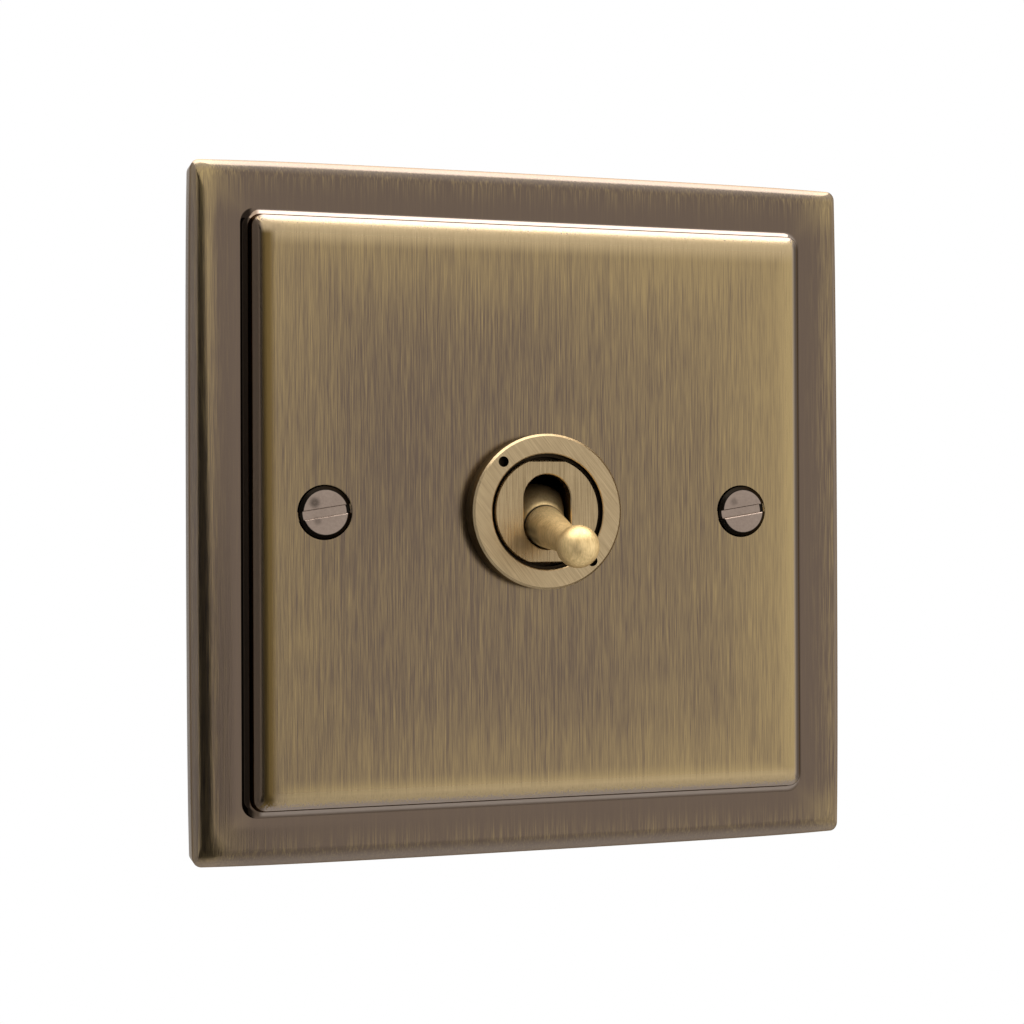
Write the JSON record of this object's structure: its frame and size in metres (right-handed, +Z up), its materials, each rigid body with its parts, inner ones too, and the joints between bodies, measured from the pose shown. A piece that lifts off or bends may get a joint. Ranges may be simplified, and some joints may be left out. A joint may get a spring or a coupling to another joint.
{
  "type": "brass dolly switch",
  "caption": "Square stepped wall plate in antique brass with a round-ended dolly lever that rocks up and down to switch a mains circuit, with its housing behind.",
  "frame": {"origin": "centre of the plate in the plane of its back rim, midway between the fixing screws", "axes": "+X along the plate to the right as seen from the room, +Y into the wall, +Z up"},
  "size_m": [0.095, 0.0545, 0.095],
  "materials": {
    "plate_brass": "brushed antique",
    "nut_brass": "brushed antique",
    "dolly_brass": "satin",
    "screw_bronze": "polished, bronzed",
    "contact_brass": "plain",
    "tip_silver": "satin",
    "zinc_steel": "zinc plated",
    "spring_steel": "bright",
    "white_moulding": "satin moulded",
    "black_moulding": "satin moulded"
  },
  "bodies": {
    "switch_body": {"front_plate": "plate_brass", "fixing_screws": "screw_bronze", "ring_nut": "nut_brass", "lock_washer": "spring_steel", "bush": "nut_brass", "pivot_pin": "zinc_steel", "yoke": "zinc_steel", "housing_cover": "black_moulding", "housing_base": "white_moulding", "common_cradle": "contact_brass", "upper_contact": "contact_brass", "lower_contact": "contact_brass", "fixed_tips": "tip_silver", "common_terminal": "contact_brass", "upper_terminal": "contact_brass", "lower_terminal": "contact_brass", "terminal_screws": "zinc_steel", "earth_terminal": "contact_brass", "earth_screw": "zinc_steel"},
    "lever": {"dolly": "dolly_brass", "plunger_spring": "spring_steel"},
    "plunger": {"plunger": "contact_brass"},
    "rocker": {"rocking_contact": "contact_brass", "moving_tips": "tip_silver"}
  },
  "joints": [
    {"name": "lever_hinge", "type": "hinge", "parent": "switch_body", "child": "lever", "pos_m": [0, 0, 0], "axis": [-1, 0, 0], "range_deg": [0, 21.2]},
    {"name": "rocker_hinge", "type": "hinge", "parent": "switch_body", "child": "rocker", "pos_m": [0, 0.0128, 0], "axis": [1, 0, 0], "range_deg": [0, 14]},
    {"name": "plunger_slide", "type": "slide", "parent": "lever", "child": "plunger", "axis": [0, -0.9829, -0.184], "range_m": [0, 0.0008], "stiffness_N_per_m": 300, "deforming": ["plunger_spring"]}
  ],
  "couplings": [
    {"joint": "rocker_hinge", "follows": "lever_hinge", "ratio": 0.66037}
  ]
}
